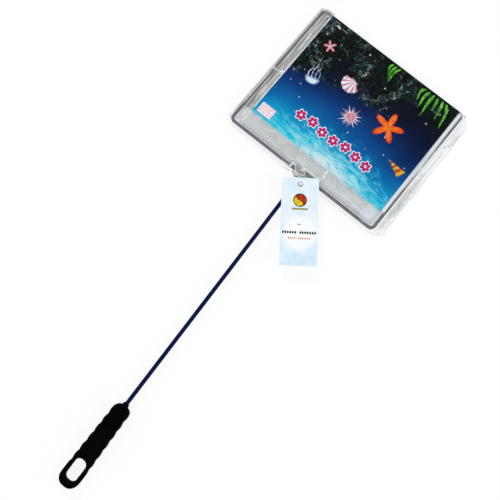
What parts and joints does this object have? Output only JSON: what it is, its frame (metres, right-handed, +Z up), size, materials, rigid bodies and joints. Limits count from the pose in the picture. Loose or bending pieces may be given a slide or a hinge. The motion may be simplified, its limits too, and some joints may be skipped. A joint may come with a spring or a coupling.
{
  "type": "aquarium fish net",
  "caption": "Wire-framed aquarium dip net with a sleeved handle and ribbed grip, in its clear sales bag with a printed card and a hang tag.",
  "frame": {"origin": "middle of the hoop, on the surface that the net lies on", "axes": "+Y from the grip towards the head, square to the hoop's near side; +Z up, out of the hoop's mouth; +X to the right seen from above with the head away"},
  "size_m": [0.164, 0.4397, 0.0126],
  "materials": {
    "wire": "satin, galvanised",
    "sleeve": "glossy navy",
    "grip": "matt black",
    "hem": "grey-violet thread wound round the wire, with a pale band inside",
    "thread": "white sewing thread",
    "netting": "fine white knitted mesh",
    "film": "clear, crumpled",
    "card": "glossy print",
    "label": "matt",
    "tie": "white",
    "tag": "smooth print",
    "eyelet": "pink"
  },
  "bodies": {
    "net": {"frame_wire": "wire", "handle_sleeve": "sleeve", "grip": "grip", "hem_binding": "hem", "hem_stitching": "thread", "net_pouch": "netting"},
    "bag": {"bag_back_film": "film", "bag_front_film": "film", "bag_mouth": "film"},
    "card": {"insert_card": "card", "card_label": "label"},
    "tie": {"neck_tie": "tie"},
    "tag": {"hang_tag": "tag", "tag_eyelet": "eyelet"}
  },
  "joints": [
    {"name": "bag_slide", "type": "slide", "parent": "net", "child": "bag", "axis": [0, 1, 0], "range_m": [0, 0.15], "deforming": ["bag_mouth"]},
    {"name": "card_shift", "type": "slide", "parent": "bag", "child": "card", "axis": [0, 1, 0], "range_m": [-0.017, 0.002]},
    {"name": "tie_slide", "type": "slide", "parent": "net", "child": "tie", "axis": [0.0384, -0.9993, 0], "range_m": [0, 0.15]},
    {"name": "tag_swing", "type": "hinge", "parent": "tie", "child": "tag", "pos_m": [0.00618, -0.07233, 0.0115], "axis": [0, 0, 1], "continuous": true}
  ]
}
